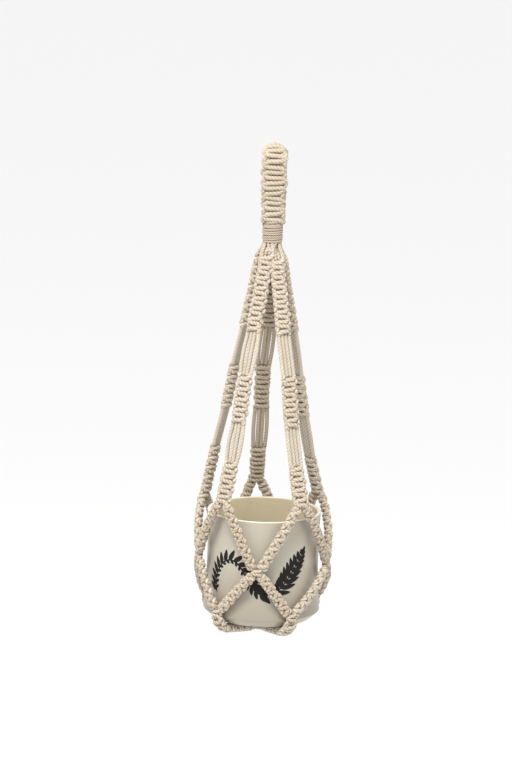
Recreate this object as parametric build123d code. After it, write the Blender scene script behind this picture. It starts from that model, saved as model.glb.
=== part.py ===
from build123d import *
import os
from math import atan2, cos, hypot, radians, sin, tan

# Hanging macrame planter: a knotted cotton hanger that carries a glazed pot in its net.
# Millimetres. +Z is up and the front of the pot faces -Y.
# The origin is the centre of the hook rod that the top loop hangs on.

# ---- driving dimensions -------------------------------------------------
CORD_D = 4.2                 # three-strand cotton cord
KNOT_W = 17.5                # square-knot sinnet, across
KNOT_T = 9.6                 # square-knot sinnet, thickness
TUCK = 1.0                   # how far a cord runs on inside the knot that grips it

EYE_R = 9.0                  # rod that the top loop fits over
LOOP_W = 26.4                # the loop's sinnet, across
LOOP_T = 11.0                # the loop's sinnet, thickness
LOOP_CHAMFER = 2.0
EYE_BOTTOM_Z = -58.0         # where the loop's two legs meet
EYE_BOTTOM_HALF = 1.2

WRAP_TOP_Z = -66.0
WRAP_BOTTOM_Z = -90.5
WRAP_TURNS = 8
WRAP_R = 11.0                # over the wrapping cord
WRAP_GROOVE = 0.9            # depth between turns
BUNDLE_R = 7.9               # the cords squeezed inside the wrap

JOINT_GAP = 0.3              # between bodies that move on each other
NECK_R = 8.3
FAN_TOP_R = 10.0
FAN_BOTTOM_R = 16.5
FAN_BOTTOM_Z = -113.0
FAN_LIP = 1.2
ARM_TOP_Z = -114.7           # the arms lean out, so their ends need this room under the fan
ARM_TOP_R = 14.0

RIM_Z = -390.3
POT_RIM_R = 63.0
POT_WAIST_R = 61.6
POT_WAIST_Z = -443.0
POT_SHOULDER_R = 64.7
POT_SHOULDER_Z = -501.7
POT_BASE_R = 55.0
POT_BASE_Z = -510.3
POT_WALL = 4.0
POT_FLOOR = 5.0
POT_LIP_FILLET = 1.2
POT_SHOULDER_FILLET = 2.0
POT_INNER_FILLET = 7.0
POT_INNER_TAPER = 1.5        # how much narrower the inside is at the floor than at the rim

STRAND_R = 5.0               # knotted chain of two cords
CHAIN_RUNS = 3               # straight runs that make up one chain
NET_R = 72.0                 # how far out the chains pass round the pot
NET_LAG = -5.0               # degrees the base joints sit round from their arms
SPLIT_SPREAD = 4.3           # degrees from the foot of an arm to each chain that leaves it
CROSSING_SPREAD = 4.2        # degrees from the middle of a crossing to each chain that enters it
JOINT_SPREAD = 4.2           # degrees from the middle of a base joint to each chain that enters it
CROSSING_SIZE = (17.0, 15.0)
CROSSING_ENTRY = 5.0         # height from the middle of a crossing to where the chains enter it
BASE_JOINT_R = 70.3
BASE_JOINT_Z = -497.0
BASE_JOINT_SIZE = (16.0, 13.0)
JOINT_ENTRY = 4.0            # height from the middle of a base joint to where the chains enter it
PAD_CORNER = 0.35            # corner radius of a flat knot, as a share of its height
PAD_CHAMFER = 1.6
BASE_KNOT_W = 15.5           # sinnet under the pot, across
BASE_DROP = 3.4              # how far below the pot's shoulder the base sinnets start to turn in
BASE_DROP_IN = 0.4           # how far in they lean by there
BASE_TURN_OUT = 4.6          # how far outside the pot's foot they turn under it
GATHER_R = 16.5
GATHER_FILLET = 3.0
BEND_SHARE = 0.45            # of the shorter run beside a bend, used up by the bend

# Each arm: azimuth where its first sinnet ends, azimuth from there down, and the heights where
# the first sinnet, the first bare run, the second sinnet, the second bare run and the third
# sinnet end. The arms leave the neck evenly and settle unevenly round the rim.
ARMS = {
    "front_left": (234.0, 232.0, (-187.0, -232.5, -286.0, -327.5, -374.0)),
    "front_right": (301.0, 303.0, (-189.0, -232.0, -289.5, -328.0, -375.0)),
    "back_right": (388.0, 396.0, (-191.0, -240.0, -290.0, -336.0, -381.0)),
    "back": (452.5, 457.5, (-191.0, -233.0, -287.0, -331.5, -377.0)),
    "back_left": (524.5, 516.0, (-186.0, -228.5, -280.5, -322.5, -386.0)),
}
ARM_FIRST_AZIMUTH = 234.0    # of the first arm at the neck
ARM_SPACING = 360 / len(ARMS)
ARM_RADII = (29.5, 40.2, 50.2, 60.6, 74.0)
ARM_SECTIONS = ("upper_sinnet", "upper_cords", "middle_sinnet", "lower_cords", "lower_sinnet")
CORD_OFFSETS = (-6.6, -2.15, 2.15, 6.6)

# How far the outer two cords of an arm's bare runs bow out sideways, half way along a run.
RUN_BOW = {
    "front_left": 2.0,
    "front_right": 0.0,
    "back_right": 0.8,
    "back": 0.9,
    "back_left": 0.0,
}

# Height of the crossing knot between each arm and the next one round.
CROSSINGS = {
    "front": -444.5,
    "right": -445.5,
    "back_right": -445.0,
    "back_left": -445.0,
    "left": -438.5,
}


# ---- geometry helpers ---------------------------------------------------
def polar(radius, azimuth, z):
    """Point at a radius and an azimuth in degrees round the vertical axis."""
    return Vector(radius * cos(radians(azimuth)), radius * sin(radians(azimuth)), z)


def tangential(azimuth):
    """Unit vector round the vertical axis."""
    return Vector(-sin(radians(azimuth)), cos(radians(azimuth)), 0)


def tangent_point(radius, y, z):
    """Where a line from (y, z) touches the circle of this radius round the origin, on the +Y side."""
    distance = hypot(y, z)
    angle = atan2(z, y) + atan2((distance**2 - radius**2) ** 0.5, radius)
    return radius * cos(angle), radius * sin(angle)


def teardrop(radius, y, z):
    """Face in the YZ plane: round at the top, with straight sides down to half-width y at height z."""
    touch_y, touch_z = tangent_point(radius, y, z)
    sides = [
        Line((y, z), (touch_y, touch_z)),
        ThreePointArc((touch_y, touch_z), (0, radius), (-touch_y, touch_z)),
        Line((-touch_y, touch_z), (-y, z)),
        Line((-y, z), (y, z)),
    ]
    return Plane.YZ * make_face(sides)


def turned(outline):
    """Solid turned about Z from curves in the XZ plane that start and end on the axis."""
    return revolve(Plane.XZ * make_face(outline), Axis.Z)


def bar(start, end, azimuth, width, thickness):
    """Straight sinnet between two points, flat side facing out, with rounded sides."""
    across = tangential(azimuth)
    plane = Plane(origin=start, x_dir=across, z_dir=end - start)
    return extrude(plane * SlotOverall(width, thickness), (end - start).length)


def pad(centre, azimuth, width, height, thickness):
    """Rounded flat knot facing out at an azimuth."""
    outward = polar(1, azimuth, 0)
    plane = Plane(origin=centre - outward * (thickness / 2), x_dir=tangential(azimuth), z_dir=outward)
    block = extrude(plane * RectangleRounded(width, height, height * PAD_CORNER), thickness)
    flats = block.faces().filter_by(lambda face: abs(face.normal_at().dot(outward)) > 0.99)
    return chamfer(flats.edges(), PAD_CHAMFER)


def corner_radii(points):
    """Arc at each corner that uses up BEND_SHARE of the shorter run beside it."""
    radii = []
    for before, here, after in zip(points, points[1:], points[2:]):
        first, second = here - before, after - here
        half_turn = radians(first.get_angle(second)) / 2
        radii.append(BEND_SHARE * min(first.length, second.length) / tan(half_turn))
    return radii


def chain(points):
    """Two-cord chain along a route."""
    route = FilletPolyline(*points, radius=corner_radii(points))
    plane = Plane(origin=route @ 0, z_dir=route % 0)
    return sweep(plane * Circle(STRAND_R), path=route).solid()


def around(start, end):
    """Route of a chain round the pot between two (radius, azimuth, z) places, in equal steps."""
    points = []
    for step in range(CHAIN_RUNS + 1):
        share = step / CHAIN_RUNS
        radius, azimuth, z = (a + (b - a) * share for a, b in zip(start, end))
        points.append(polar(radius, azimuth, z))
    return points


def save(shape, node):
    """Write one sub-part."""
    shape.label = node
    export_step(shape, f"parts/{node}.step")


# ---- loop, wrap and neck ------------------------------------------------
def hanging_loop():
    """Wide sinnet folded over into an eye, with the cord bundle that the wrap grips below it."""
    outer = teardrop(EYE_R + LOOP_T, LOOP_T, WRAP_TOP_Z)
    eye = teardrop(EYE_R, EYE_BOTTOM_HALF, EYE_BOTTOM_Z)
    strap = extrude(outer - eye, LOOP_W / 2, both=True)
    sides = strap.edges().filter_by(lambda edge: abs(abs(edge.center().X) - LOOP_W / 2) < 0.01)
    strap = chamfer(sides, LOOP_CHAMFER)
    bundle = Pos(0, 0, WRAP_BOTTOM_Z) * Cylinder(
        BUNDLE_R, WRAP_TOP_Z - WRAP_BOTTOM_Z + TUCK, align=(Align.CENTER, Align.CENTER, Align.MIN)
    )
    return strap + bundle


def gathering_wrap():
    """Coil that grips the bundle, one rounded ring for each turn."""
    pitch = (WRAP_TOP_Z - WRAP_BOTTOM_Z) / WRAP_TURNS
    groove_r = WRAP_R - WRAP_GROOVE
    outline = []
    for turn in range(WRAP_TURNS):
        low = WRAP_BOTTOM_Z + turn * pitch
        high = low + pitch
        outline.append(ThreePointArc((groove_r, low), (WRAP_R, (low + high) / 2), (groove_r, high)))
    outline.append(Line((groove_r, WRAP_TOP_Z), (BUNDLE_R, WRAP_TOP_Z)))
    outline.append(Line((BUNDLE_R, WRAP_TOP_Z), (BUNDLE_R, WRAP_BOTTOM_Z)))
    outline.append(Line((BUNDLE_R, WRAP_BOTTOM_Z), (groove_r, WRAP_BOTTOM_Z)))
    return turned(outline)


def dome(radius, pivot_z):
    """Quarter arc from the axis down to a pivot's height, to be turned into a round top."""
    middle = (radius * cos(radians(45)), pivot_z + radius * sin(radians(45)))
    return ThreePointArc((0, pivot_z + radius), middle, (radius, pivot_z))


def neck():
    """Two round-topped lengths of the cord bundle, each of which rolls under the one above."""
    upper_pivot_z = WRAP_BOTTOM_Z - JOINT_GAP - NECK_R
    fan_pivot_z = upper_pivot_z - JOINT_GAP - FAN_TOP_R
    upper = turned([
        dome(NECK_R, upper_pivot_z),
        Line((NECK_R, upper_pivot_z), (0, upper_pivot_z)),
        Line((0, upper_pivot_z), (0, upper_pivot_z + NECK_R)),
    ])
    fan = turned([
        dome(FAN_TOP_R, fan_pivot_z),
        Line((FAN_TOP_R, fan_pivot_z), (FAN_BOTTOM_R, FAN_BOTTOM_Z + FAN_LIP)),
        Line((FAN_BOTTOM_R, FAN_BOTTOM_Z + FAN_LIP), (FAN_BOTTOM_R, FAN_BOTTOM_Z)),
        Line((FAN_BOTTOM_R, FAN_BOTTOM_Z), (0, FAN_BOTTOM_Z)),
        Line((0, FAN_BOTTOM_Z), (0, fan_pivot_z + FAN_TOP_R)),
    ])
    return upper, fan


# ---- arms ---------------------------------------------------------------
def arm_stations(index, name):
    """Places down one arm as (radius, azimuth, z), from the neck to where it splits."""
    first_azimuth, azimuth, heights = ARMS[name]
    azimuths = (first_azimuth, azimuth, azimuth, azimuth, azimuth)
    places = [(ARM_TOP_R, ARM_FIRST_AZIMUTH + ARM_SPACING * index, ARM_TOP_Z)]
    places += list(zip(ARM_RADII, azimuths, heights))
    return places


def bare_cords(start, end, bow):
    """Four cords between two sinnets, of which the outer two bow out sideways."""
    cords = []
    for offset in CORD_OFFSETS:
        top = polar(*start) + tangential(start[1]) * offset
        foot = polar(*end) + tangential(end[1]) * offset
        along = (foot - top).normalized()
        top, foot = top - along * TUCK, foot + along * TUCK
        route = Line(top, foot)
        if bow and abs(offset) == max(CORD_OFFSETS):
            sideways = tangential(end[1]) * (bow if offset > 0 else -bow)
            route = ThreePointArc(top, (top + foot) / 2 + sideways, foot)
        plane = Plane(origin=route @ 0, z_dir=route % 0)
        cords.append(sweep(plane * Circle(CORD_D / 2), path=route).solid())
    return Compound(cords)


def arm(index, name):
    """Three sinnets and the two bare runs between them."""
    places = arm_stations(index, name)
    for section, start, end in zip(ARM_SECTIONS, places, places[1:]):
        if section.endswith("cords"):
            shape = bare_cords(start, end, RUN_BOW[name])
        else:
            azimuth = (start[1] + end[1]) / 2
            shape = bar(polar(*start), polar(*end), azimuth, KNOT_W, KNOT_T)
        save(shape, f"{section}_{name}")


# ---- net ----------------------------------------------------------------
def net():
    """Chains that split from each arm, cross, and join again at the foot of the pot."""
    names = list(ARMS)
    splits = [arm_stations(index, name)[-1] for index, name in enumerate(names)]
    crossings = []
    for index, (name, z) in enumerate(CROSSINGS.items()):
        here = splits[index][1]
        last = index == len(names) - 1
        onward = splits[0][1] + 360.0 if last else splits[index + 1][1]
        azimuth = (here + onward + NET_LAG) / 2
        crossings.append((NET_R, azimuth, z))
        knot = pad(polar(NET_R, azimuth, z), azimuth, *CROSSING_SIZE, KNOT_T)
        save(knot, f"crossing_knot_{name}")

    for index, name in enumerate(names):
        split_r, split_az, split_z = splits[index]
        joint = (BASE_JOINT_R, split_az + NET_LAG, BASE_JOINT_Z)
        before = crossings[index - 1]
        if index == 0:
            before = (before[0], before[1] - 360.0, before[2])
        upper = []
        lower = []
        for side, (cross_r, cross_az, cross_z) in ((-1, before), (1, crossings[index])):
            root = (split_r, split_az + side * SPLIT_SPREAD, split_z + TUCK)
            stop = (cross_r, cross_az - side * CROSSING_SPREAD, cross_z + CROSSING_ENTRY)
            upper.append(chain(around(root, stop)))
            leave = (cross_r, cross_az - side * CROSSING_SPREAD, cross_z - CROSSING_ENTRY)
            foot = (joint[0], joint[1] + side * JOINT_SPREAD, joint[2] + JOINT_ENTRY)
            lower.append(chain(around(leave, foot)))
        save(Compound(upper), f"upper_net_{name}")
        save(Compound(lower), f"lower_net_{name}")
        save(pad(polar(*joint), joint[1], *BASE_JOINT_SIZE, KNOT_T), f"base_knot_{name}")
        save(base_sinnet(joint[1]), f"base_sinnet_{name}")


def base_sinnet(azimuth):
    """Flat sinnet from a base joint, round the foot of the pot and in under it."""
    under_z = POT_BASE_Z - JOINT_GAP - KNOT_T / 2
    points = [
        polar(BASE_JOINT_R, azimuth, BASE_JOINT_Z - BASE_JOINT_SIZE[1] / 2 + TUCK),
        polar(BASE_JOINT_R - BASE_DROP_IN, azimuth, POT_SHOULDER_Z - BASE_DROP),
        polar(POT_BASE_R + BASE_TURN_OUT, azimuth, under_z),
        polar(GATHER_R - TUCK, azimuth, under_z),
    ]
    route = FilletPolyline(*points, radius=corner_radii(points))
    plane = Plane(origin=route @ 0, x_dir=tangential(azimuth), z_dir=route % 0)
    return sweep(plane * SlotOverall(BASE_KNOT_W, KNOT_T), path=route)


def base_gather():
    """Round knot under the middle of the pot where every cord ends."""
    under_z = POT_BASE_Z - JOINT_GAP - KNOT_T / 2
    disc = Pos(0, 0, under_z) * Cylinder(GATHER_R, KNOT_T)
    rims = disc.edges().filter_by(GeomType.CIRCLE)
    return fillet(rims, GATHER_FILLET)


# ---- pot ----------------------------------------------------------------
def pot():
    """Glazed pot with a slight waist, a chamfered foot and an open top."""
    inner_r = POT_RIM_R - POT_WALL
    floor_z = POT_BASE_Z + POT_FLOOR
    profile = Plane.XZ * make_face([
        Line((0, POT_BASE_Z), (POT_BASE_R, POT_BASE_Z)),
        Line((POT_BASE_R, POT_BASE_Z), (POT_SHOULDER_R, POT_SHOULDER_Z)),
        ThreePointArc(
            (POT_SHOULDER_R, POT_SHOULDER_Z), (POT_WAIST_R, POT_WAIST_Z), (POT_RIM_R, RIM_Z)
        ),
        Line((POT_RIM_R, RIM_Z), (inner_r, RIM_Z)),
        Line((inner_r, RIM_Z), (inner_r - POT_INNER_TAPER, floor_z)),
        Line((inner_r - POT_INNER_TAPER, floor_z), (0, floor_z)),
        Line((0, floor_z), (0, POT_BASE_Z)),
    ])
    body = revolve(profile, Axis.Z)

    def circles(z, low, high):
        return body.edges().filter_by(GeomType.CIRCLE).filter_by(
            lambda edge: abs(edge.center().Z - z) < 0.01 and low < edge.radius < high
        )

    body = fillet(circles(RIM_Z, 0, 100), POT_LIP_FILLET)
    body = fillet(circles(POT_SHOULDER_Z, 60, 70), POT_SHOULDER_FILLET)
    return fillet(circles(floor_z, 50, 60), POT_INNER_FILLET)


def main():
    os.makedirs("parts", exist_ok=True)
    save(hanging_loop(), "hanging_loop")
    save(gathering_wrap(), "gathering_wrap")
    upper, fan = neck()
    save(upper, "neck_cords")
    save(fan, "neck_fan")
    for index, name in enumerate(ARMS):
        arm(index, name)
    net()
    save(base_gather(), "base_gather")
    save(pot(), "pot")


main()
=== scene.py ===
import math

import bpy
import numpy as np
from mathutils import Matrix, Vector


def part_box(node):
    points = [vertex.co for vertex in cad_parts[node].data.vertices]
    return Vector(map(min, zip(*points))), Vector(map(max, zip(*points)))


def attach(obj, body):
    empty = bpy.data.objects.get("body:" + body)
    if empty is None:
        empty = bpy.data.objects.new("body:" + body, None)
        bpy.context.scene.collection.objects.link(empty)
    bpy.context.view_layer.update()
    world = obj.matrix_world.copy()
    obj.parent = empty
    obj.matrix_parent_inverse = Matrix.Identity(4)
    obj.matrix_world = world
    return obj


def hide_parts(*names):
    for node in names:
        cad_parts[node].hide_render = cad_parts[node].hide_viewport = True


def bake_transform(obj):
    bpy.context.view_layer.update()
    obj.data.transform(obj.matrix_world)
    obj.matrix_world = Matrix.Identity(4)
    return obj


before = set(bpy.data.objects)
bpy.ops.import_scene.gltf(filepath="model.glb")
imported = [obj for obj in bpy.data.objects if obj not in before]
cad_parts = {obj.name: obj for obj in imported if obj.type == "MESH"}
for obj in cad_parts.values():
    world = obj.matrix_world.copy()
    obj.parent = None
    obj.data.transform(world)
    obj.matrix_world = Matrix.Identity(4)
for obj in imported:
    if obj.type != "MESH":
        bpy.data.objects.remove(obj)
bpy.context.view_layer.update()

# Shapes are worked out in millimetres.
MM = 0.001
SOFT_R = 2.4             # mm, the same cord lying loose
LAY = 11.0               # mm along a cord for one full turn of its strands
ARMS = ("front_left", "front_right", "back_right", "back", "back_left")
CROSSINGS = ("front", "right", "back_right", "back_left", "left")
CORD_OFFSETS = (-6.6, -2.15, 2.15, 6.6)   # mm across an arm
# How far in mm the outer two cords of an arm's bare runs bow out sideways, half way along a run.
RUN_BOW = {"front_left": 2.0, "front_right": 0.0, "back_right": 0.8, "back": 0.9, "back_left": 0.0}
# The range each arm's cords take their tint from: 0 is the darkest cotton and 1 the palest. Within a range
# each cord's own tone differs at random; the back arm's lower range is painted shade.
ARM_TINTS_AND_SHADE = {"front_left": (0.7, 1.0), "front_right": (0.7, 1.0), "back_right": (0.7, 1.0),
             "back": (0.3, 0.6), "back_left": (0.7, 1.0)}
rng = np.random.default_rng(7)

# ---- camera -------------------------------------------------------------
CAMERA_DISTANCE = 4.0
CAMERA_ELEVATION = math.radians(11.5)
CAMERA_ROLL = math.radians(1.7)
CAMERA_AIM = Vector((-0.0131, 0.0, -0.2492))
FRAME_HEIGHT = 0.845     # what the picture's long side covers at the aim point

camera = bpy.data.objects.new("camera", bpy.data.cameras.new("camera"))
bpy.context.scene.collection.objects.link(camera)
back = Vector((0, -math.cos(CAMERA_ELEVATION), math.sin(CAMERA_ELEVATION)))
camera.location = CAMERA_AIM + back * CAMERA_DISTANCE
turn = (-back).to_track_quat("-Z", "Y").to_matrix() @ Matrix.Rotation(CAMERA_ROLL, 3, "Z")
camera.rotation_euler = turn.to_euler()
camera.data.lens = camera.data.sensor_width * CAMERA_DISTANCE / FRAME_HEIGHT
camera.data.clip_end = 50.0
bpy.context.scene.camera = camera


# ---- places from the CAD ------------------------------------------------
def unit(v):
    return v / np.linalg.norm(v, axis=-1, keepdims=True)


def vertices(node):
    """The CAD node's vertices, in millimetres."""
    return np.array([v.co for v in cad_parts[node].data.vertices]) / MM


def centre(node):
    low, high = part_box(node)
    return np.array((low + high) / 2) / MM


def straight(node):
    """The middles of a straight sinnet's upper and lower ends, the way across it and the way out."""
    points = vertices(node)
    middle = points.mean(0)
    axes = np.linalg.svd(points - middle, full_matrices=False)[2]
    spread = (points - middle) @ axes.T
    middle = middle + (spread.max(0) + spread.min(0)) / 2 @ axes
    half = (spread[:, 0].max() - spread[:, 0].min()) / 2
    along = axes[0] * (-1 if axes[0][2] > 0 else 1)
    out = unit(np.array([middle[0], middle[1], 0.0]))
    out = unit(out - along * (out @ along))
    return middle - along * half, middle + along * half, np.cross(out, along), out


def polar(radius, azimuth, z):
    return np.array([radius * math.cos(azimuth), radius * math.sin(azimuth), z])


# ---- cord meshes --------------------------------------------------------
def resample(line, step):
    """The line again with even steps of about this length."""
    line = np.asarray(line, float)
    gone = np.concatenate([[0], np.cumsum(np.linalg.norm(np.diff(line, axis=0), axis=1))])
    count = max(3, int(round(gone[-1] / step)) + 1)
    at = np.linspace(0, gone[-1], count)
    return np.stack([np.interp(at, gone, line[:, k]) for k in range(3)], axis=1)


def smooth(line, rounds):
    """The line with its corners eased and its ends kept."""
    line = line.copy()
    for _ in range(rounds):
        line[1:-1] += 0.5 * ((line[:-2] + line[2:]) / 2 - line[1:-1])
    return line


SIDES = 12               # points round a cord
# How deep the grooves between strands are, as a share of the radius: in bare cords, in knots and at most.
SOFT_DEPTH, KNOT_DEPTH, FULL_DEPTH = 0.12, 0.15, 0.21
angles = np.arange(SIDES) * 2 * math.pi / SIDES
lobe = np.abs(np.cos(1.5 * angles)) ** 0.8


def tube(line, radius, phase, lay, depth):
    """Vertices, quads, lobe heights and fibre coordinates of one twisted three-strand cord."""
    tangent = unit(np.gradient(line, axis=0))
    normal = np.zeros_like(line)
    start = np.array([0.0, 0.0, 1.0]) if abs(tangent[0][2]) < 0.8 else np.array([1.0, 0.0, 0.0])
    for i, t in enumerate(tangent):
        start = start - t * (start @ t)
        start = start / np.linalg.norm(start)
        normal[i] = start
    side = np.cross(tangent, normal)
    gone = np.concatenate([[0], np.cumsum(np.linalg.norm(np.diff(line, axis=0), axis=1))])
    spin = angles[None, :] + (gone * 2 * math.pi / lay + phase)[:, None]
    reach = radius * (1 - depth * (1 - lobe))[None, :]
    ring = (normal[:, None] * np.cos(spin)[..., None] + side[:, None] * np.sin(spin)[..., None])
    points = (line[:, None] + ring * reach[..., None]).reshape(-1, 3)
    count = len(line)
    points = np.concatenate([points, line[:1], line[-1:]])
    # The lobe heights set the painted shade in the grooves between strands; shallower grooves get less of
    # it.
    grooves = (1 - lobe) * depth / FULL_DEPTH
    heights = 1 - np.concatenate([np.tile(grooves, count), [0.5, 0.5]])
    along = np.repeat(gone[:, None], SIDES, 1)
    fibre = np.stack([np.cos(spin) * radius, np.sin(spin) * radius, along], axis=-1)
    fibre = np.concatenate([fibre.reshape(-1, 3), [[0, 0, 0], [0, 0, gone[-1]]]])
    i = np.arange(count - 1)[:, None] * SIDES
    j = np.arange(SIDES)[None, :]
    k = (j + 1) % SIDES
    quads = np.stack([i + j, i + k, i + k + SIDES, i + j + SIDES], axis=-1).reshape(-1, 4)
    first, last = count * SIDES, count * SIDES + 1
    foot = (count - 1) * SIDES
    caps = np.concatenate([
        np.stack([np.full(SIDES, first), k[0], j[0]], axis=-1),
        np.stack([np.full(SIDES, last), foot + j[0], foot + k[0]], axis=-1),
    ])
    return points, quads, caps, heights, fibre


def mesh_object(name, points, quads, triangles, attributes=()):
    """A smooth-shaded object from millimetre points, with per-point attributes."""
    mesh = bpy.data.meshes.new(name)
    mesh.vertices.add(len(points))
    mesh.vertices.foreach_set("co", (points * MM).astype(np.float32).ravel())
    corners = np.concatenate([quads.ravel(), triangles.ravel()]).astype(np.int32)
    starts = np.concatenate([np.arange(len(quads)) * 4, len(quads) * 4 + np.arange(len(triangles)) * 3])
    mesh.loops.add(len(corners))
    mesh.loops.foreach_set("vertex_index", corners)
    mesh.polygons.add(len(starts))
    mesh.polygons.foreach_set("loop_start", starts.astype(np.int32))
    mesh.update(calc_edges=True)
    mesh.validate()
    mesh.polygons.foreach_set("use_smooth", np.ones(len(mesh.polygons), bool))
    for key, values in attributes:
        kind = "FLOAT" if values.ndim == 1 else "FLOAT_VECTOR"
        layer = mesh.attributes.new(key, kind, "POINT")
        layer.data.foreach_set("value" if values.ndim == 1 else "vector", values.astype(np.float32).ravel())
    mesh.update()
    made = bpy.data.objects.new(name, mesh)
    bpy.context.scene.collection.objects.link(made)
    return made


def openness(points, line, lines, radius):
    """How free of other cords the space outside each point of a tube is, from 0 to 1: the mask for painted
    shade in the crevices between cords.
    """
    probe, close_by, chunk = 1.6, 5, 600
    out = unit(points[:-2] - np.repeat(line, SIDES, axis=0))
    probes = points[:-2] + out * probe
    near = np.full(len(probes), radius + probe)
    for x in range(0, len(probes), chunk):
        part = probes[x:x + chunk]
        low, high = part.min(0) - close_by, part.max(0) + close_by
        close = lines[((lines > low) & (lines < high)).all(1)]
        if len(close):
            away = ((part[:, None] - close[None]) ** 2).sum(2).min(1) ** 0.5
            near[x:x + chunk] = np.minimum(away, radius + probe)
    # A probe within 0.8 mm of another cord's centreline gives the full painted shade, and the caps get heavy
    # painted shade.
    buried, at_the_caps = 0.8, 0.3
    free = np.clip((near - buried) / (radius + probe - buried), 0, 1)
    return np.append(free, [at_the_caps] * 2)


def cords(name, lines, radii, material, lay=LAY, step=1.05, phases=None, depth=KNOT_DEPTH,
          tints_and_shade=(0.4, 1.0)):
    """One object made of several twisted cords, each given by its centreline in millimetres."""
    parts, base = [], 0
    lines = [resample(line, step) for line in lines]
    everything = np.concatenate(lines)
    for index, (line, radius) in enumerate(zip(lines, radii)):
        phase = rng.uniform(0, 2 * math.pi) if phases is None else phases[index]
        points, quads, caps, heights, fibre = tube(line, radius, phase, lay, depth)
        free = openness(points, line, everything, radius)
        # Each cord's tint: its own random tone, and for the back arm's cords also painted shade.
        tint_and_shade = np.full(len(points), rng.uniform(*tints_and_shade))
        fibre = fibre + rng.uniform(0, 900, 3)
        parts.append((points, quads + base, caps + base, heights, fibre, tint_and_shade, free))
        base += len(points)
    points, quads, caps, heights, fibre, tint_and_shade, free = (np.concatenate(p) for p in zip(*parts))
    attributes = (("lobe", heights), ("fibre", fibre), ("tint_and_shade", tint_and_shade), ("free", free))
    made = mesh_object(name, points, quads, caps, attributes)
    made.data.materials.append(material)
    return made


def spline_points(controls):
    """Points along a NURBS line through metre control points, as Blender evaluates it."""
    curve = bpy.data.curves.new("line", "CURVE")
    curve.dimensions = "3D"
    spline = curve.splines.new("NURBS")
    spline.points.add(len(controls) - 1)
    for point, place in zip(spline.points, controls):
        point.co = (*place, 1.0)
    spline.order_u = 3
    spline.use_endpoint_u = True
    spline.resolution_u = 12
    holder = bpy.data.objects.new("line", curve)
    bpy.context.scene.collection.objects.link(holder)
    flat = bpy.data.meshes.new_from_object(holder.evaluated_get(bpy.context.evaluated_depsgraph_get()))
    points = [v.co.copy() for v in flat.vertices]
    bpy.data.objects.remove(holder)
    bpy.data.curves.remove(curve)
    bpy.data.meshes.remove(flat)
    return points


# ---- materials ----------------------------------------------------------
def new_material(name):
    material = bpy.data.materials.new(name)
    material.use_nodes = True
    nodes, links = material.node_tree.nodes, material.node_tree.links
    return material, nodes, links, nodes["Principled BSDF"]


def noise(nodes, links, vector, scale, detail=4.0, roughness=0.6):
    texture = nodes.new("ShaderNodeTexNoise")
    texture.inputs["Scale"].default_value = scale
    texture.inputs["Detail"].default_value = detail
    texture.inputs["Roughness"].default_value = roughness
    links.new(vector, texture.inputs["Vector"])
    return texture.outputs["Fac"]


def ramp(nodes, links, value, stops):
    made = nodes.new("ShaderNodeValToRGB")
    while len(made.color_ramp.elements) < len(stops):
        made.color_ramp.elements.new(0.5)
    for element, (place, colour) in zip(made.color_ramp.elements, stops):
        element.position = place
        element.color = (*colour, 1.0)
    links.new(value, made.inputs["Fac"])
    return made.outputs["Color"]


def mixed(nodes, links, blend, share, first, second):
    made = nodes.new("ShaderNodeMix")
    made.data_type = "RGBA"
    made.blend_type = blend
    if isinstance(share, float):
        made.inputs[0].default_value = share
    else:
        links.new(share, made.inputs[0])
    links.new(first, made.inputs[6])
    links.new(second, made.inputs[7])
    return made.outputs[2]


def attribute(nodes, name, output):
    made = nodes.new("ShaderNodeAttribute")
    made.attribute_name = name
    return made.outputs[output]


def stretched(nodes, links, vector, scale):
    made = nodes.new("ShaderNodeMapping")
    made.inputs["Scale"].default_value = scale
    links.new(vector, made.inputs["Vector"])
    return made.outputs["Vector"]


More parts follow.
